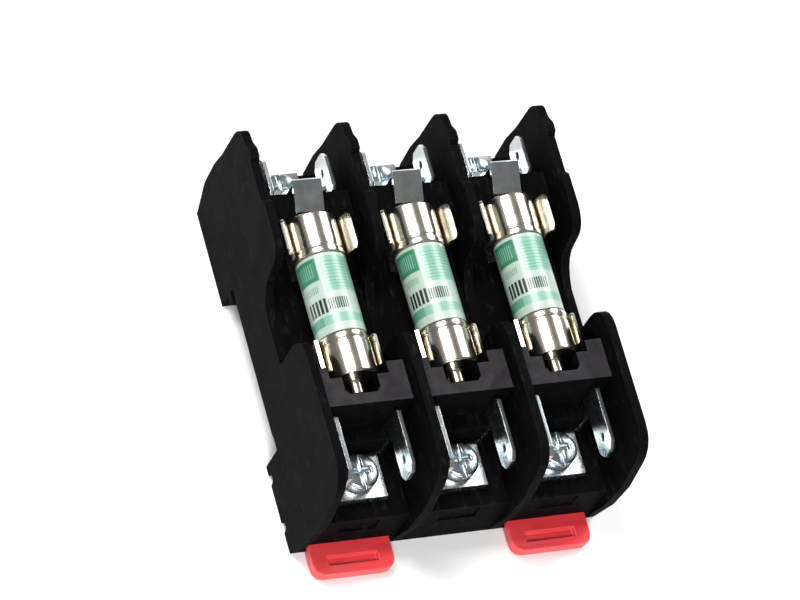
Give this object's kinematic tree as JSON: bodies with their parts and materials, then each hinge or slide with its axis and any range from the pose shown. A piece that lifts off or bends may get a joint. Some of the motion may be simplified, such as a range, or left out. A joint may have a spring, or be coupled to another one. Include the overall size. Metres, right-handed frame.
{
  "type": "rail-mounted fuse block with cartridge fuses",
  "caption": "Multi-pole fuse block for a 35 mm rail: black walled base, spring clips, screw terminals, red rail latches and pull-out cartridge fuses.",
  "frame": {"origin": "centre of the face that sits on the rail's flanges", "axes": "+X along the rail, +Y along each fuse away from its rejection tip, +Z out of the panel"},
  "size_m": [0.0648, 0.0844, 0.0339],
  "materials": {
    "housing": "black glass-filled thermoplastic, satin moulded",
    "latch": "red nylon, satin gloss",
    "clip_nickel": "nickel-plated spring copper alloy",
    "rivet_brass": "plain brass",
    "terminal_zinc": "bright zinc-plated steel",
    "screw_zinc": "clear-passivated zinc plate",
    "ferrule_nickel": "nickel-plated drawn brass",
    "fuse_tube": "glass-fibre reinforced melamine tube",
    "fuse_label": null,
    "fuse_element": "silver strip",
    "fuse_filler": "compacted quartz sand"
  },
  "bodies": {
    "block": {"housing_wall_1": "housing", "housing_wall_2": "housing", "housing_wall_3": "housing", "housing_wall_4": "housing", "housing_bay_1": "housing", "housing_bay_2": "housing", "housing_bay_3": "housing", "upper_clip_1": "clip_nickel", "upper_clip_rivet_1": "rivet_brass", "upper_terminal_1": "terminal_zinc", "lower_clip_1": "clip_nickel", "lower_clip_rivet_1": "rivet_brass", "lower_terminal_1": "terminal_zinc", "upper_clip_2": "clip_nickel", "upper_clip_rivet_2": "rivet_brass", "upper_terminal_2": "terminal_zinc", "lower_clip_2": "clip_nickel", "lower_clip_rivet_2": "rivet_brass", "lower_terminal_2": "terminal_zinc", "upper_clip_3": "clip_nickel", "upper_clip_rivet_3": "rivet_brass", "upper_terminal_3": "terminal_zinc", "lower_clip_3": "clip_nickel", "lower_clip_rivet_3": "rivet_brass", "lower_terminal_3": "terminal_zinc"},
    "latch_left": {"rail_latch_left": "latch"},
    "latch_right": {"rail_latch_right": "latch"},
    "upper_plate_1": {"upper_pressure_plate_1": "terminal_zinc"},
    "upper_screw_1": {"upper_screw_1": "screw_zinc"},
    "lower_plate_1": {"lower_pressure_plate_1": "terminal_zinc"},
    "lower_screw_1": {"lower_screw_1": "screw_zinc"},
    "fuse_1": {"fuse_upper_cap_1": "ferrule_nickel", "fuse_lower_cap_1": "ferrule_nickel", "fuse_tube_1": "fuse_tube", "fuse_label_1": "fuse_label", "fuse_element_1": "fuse_element", "fuse_filler_1": "fuse_filler"},
    "upper_plate_2": {"upper_pressure_plate_2": "terminal_zinc"},
    "upper_screw_2": {"upper_screw_2": "screw_zinc"},
    "lower_plate_2": {"lower_pressure_plate_2": "terminal_zinc"},
    "lower_screw_2": {"lower_screw_2": "screw_zinc"},
    "fuse_2": {"fuse_upper_cap_2": "ferrule_nickel", "fuse_lower_cap_2": "ferrule_nickel", "fuse_tube_2": "fuse_tube", "fuse_label_2": "fuse_label", "fuse_element_2": "fuse_element", "fuse_filler_2": "fuse_filler"},
    "upper_plate_3": {"upper_pressure_plate_3": "terminal_zinc"},
    "upper_screw_3": {"upper_screw_3": "screw_zinc"},
    "lower_plate_3": {"lower_pressure_plate_3": "terminal_zinc"},
    "lower_screw_3": {"lower_screw_3": "screw_zinc"},
    "fuse_3": {"fuse_upper_cap_3": "ferrule_nickel", "fuse_lower_cap_3": "ferrule_nickel", "fuse_tube_3": "fuse_tube", "fuse_label_3": "fuse_label", "fuse_element_3": "fuse_element", "fuse_filler_3": "fuse_filler"}
  },
  "joints": [
    {"name": "latch_left_slide", "type": "slide", "parent": "block", "child": "latch_left", "axis": [0, -1, 0], "range_m": [0, 0.0035], "stiffness_N_per_m": 1500, "springref_m": -0.001},
    {"name": "latch_right_slide", "type": "slide", "parent": "block", "child": "latch_right", "axis": [0, -1, 0], "range_m": [0, 0.0035], "stiffness_N_per_m": 1500, "springref_m": -0.001},
    {"name": "upper_plate_1_lift", "type": "slide", "parent": "block", "child": "upper_plate_1", "axis": [0, 0, 1], "range_m": [0, 0.002]},
    {"name": "upper_screw_1_turn", "type": "hinge", "parent": "upper_plate_1", "child": "upper_screw_1", "pos_m": [-0.021, 0.0332, 0.008], "axis": [0, 0, 1], "range_deg": [0, 907]},
    {"name": "lower_plate_1_lift", "type": "slide", "parent": "block", "child": "lower_plate_1", "axis": [0, 0, 1], "range_m": [0, 0.002]},
    {"name": "lower_screw_1_turn", "type": "hinge", "parent": "lower_plate_1", "child": "lower_screw_1", "pos_m": [-0.021, -0.0284, 0.008], "axis": [0, 0, 1], "range_deg": [0, 907]},
    {"name": "fuse_1_pull", "type": "slide", "parent": "block", "child": "fuse_1", "axis": [0, 0, 1], "range_m": [0, 0.032]},
    {"name": "upper_plate_2_lift", "type": "slide", "parent": "block", "child": "upper_plate_2", "axis": [0, 0, 1], "range_m": [0, 0.002]},
    {"name": "upper_screw_2_turn", "type": "hinge", "parent": "upper_plate_2", "child": "upper_screw_2", "pos_m": [0, 0.0332, 0.008], "axis": [0, 0, 1], "range_deg": [0, 907]},
    {"name": "lower_plate_2_lift", "type": "slide", "parent": "block", "child": "lower_plate_2", "axis": [0, 0, 1], "range_m": [0, 0.002]},
    {"name": "lower_screw_2_turn", "type": "hinge", "parent": "lower_plate_2", "child": "lower_screw_2", "pos_m": [0, -0.0284, 0.008], "axis": [0, 0, 1], "range_deg": [0, 907]},
    {"name": "fuse_2_pull", "type": "slide", "parent": "block", "child": "fuse_2", "axis": [0, 0, 1], "range_m": [0, 0.032]},
    {"name": "upper_plate_3_lift", "type": "slide", "parent": "block", "child": "upper_plate_3", "axis": [0, 0, 1], "range_m": [0, 0.002]},
    {"name": "upper_screw_3_turn", "type": "hinge", "parent": "upper_plate_3", "child": "upper_screw_3", "pos_m": [0.021, 0.0332, 0.008], "axis": [0, 0, 1], "range_deg": [0, 907]},
    {"name": "lower_plate_3_lift", "type": "slide", "parent": "block", "child": "lower_plate_3", "axis": [0, 0, 1], "range_m": [0, 0.002]},
    {"name": "lower_screw_3_turn", "type": "hinge", "parent": "lower_plate_3", "child": "lower_screw_3", "pos_m": [0.021, -0.0284, 0.008], "axis": [0, 0, 1], "range_deg": [0, 907]},
    {"name": "fuse_3_pull", "type": "slide", "parent": "block", "child": "fuse_3", "axis": [0, 0, 1], "range_m": [0, 0.032]}
  ],
  "couplings": [
    {"joint": "upper_screw_1_turn", "follows": "upper_plate_1_lift", "rad_per_m": 7913},
    {"joint": "lower_screw_1_turn", "follows": "lower_plate_1_lift", "rad_per_m": 7913},
    {"joint": "upper_screw_2_turn", "follows": "upper_plate_2_lift", "rad_per_m": 7913},
    {"joint": "lower_screw_2_turn", "follows": "lower_plate_2_lift", "rad_per_m": 7913},
    {"joint": "upper_screw_3_turn", "follows": "upper_plate_3_lift", "rad_per_m": 7913},
    {"joint": "lower_screw_3_turn", "follows": "lower_plate_3_lift", "rad_per_m": 7913}
  ]
}
